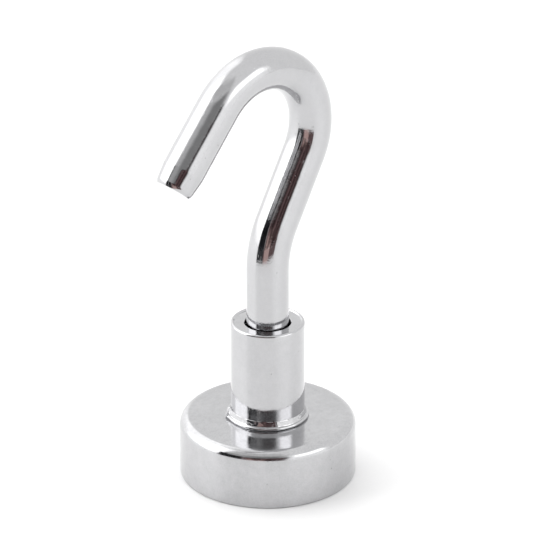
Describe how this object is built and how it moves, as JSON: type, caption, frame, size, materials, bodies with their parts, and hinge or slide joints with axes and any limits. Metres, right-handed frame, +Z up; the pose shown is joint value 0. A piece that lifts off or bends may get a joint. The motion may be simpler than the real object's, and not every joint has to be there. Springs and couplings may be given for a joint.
{
  "type": "pot magnet with screw-in hook",
  "caption": "Small round pot magnet with a tall threaded bush and an open swan-neck hook that screws into it, for retrieving or hanging light steel things.",
  "frame": {"origin": "Centre of the magnet's flat face, which is level with the rim of the steel pot.", "axes": "+Z runs up the axis of the pot, the bush and the thread. The hook's rod is bent in the XZ plane: its bowl leans to +X first and its free leg comes down on the -X side. Y is across the hook."},
  "size_m": [0.0207, 0.016, 0.0413],
  "materials": {
    "pot_nickel": "satin nickel plate over drawn steel",
    "bush_nickel": "semi-bright nickel plate over turned steel, with fine turning marks",
    "weld_metal": "bright, slightly lumpy weld metal under the nickel plate",
    "hook_nickel": "bright nickel plate over bent steel rod",
    "magnet_plating": "satin nickel plate over sintered magnet",
    "resin": "dark cured epoxy resin"
  },
  "bodies": {
    "base": {"pot_shell": "pot_nickel", "magnet_disc": "magnet_plating", "bond_layer": "resin", "resin_ring": "resin", "threaded_bush": "bush_nickel", "weld_bead": "weld_metal"},
    "hook_lifter": {"shank_end": "hook_nickel"},
    "hook": {"hook": "hook_nickel"}
  },
  "joints": [
    {"name": "hook_lift", "type": "slide", "parent": "base", "child": "hook_lifter", "axis": [0, 0, 1], "range_m": [0, 0.0042]},
    {"name": "hook_turn", "type": "hinge", "parent": "hook_lifter", "child": "hook", "pos_m": [0, 0, 0.0147], "axis": [0, 0, 1], "range_deg": [0, 2160.5]}
  ],
  "couplings": [
    {"joint": "hook_turn", "follows": "hook_lift", "rad_per_m": 8976}
  ]
}
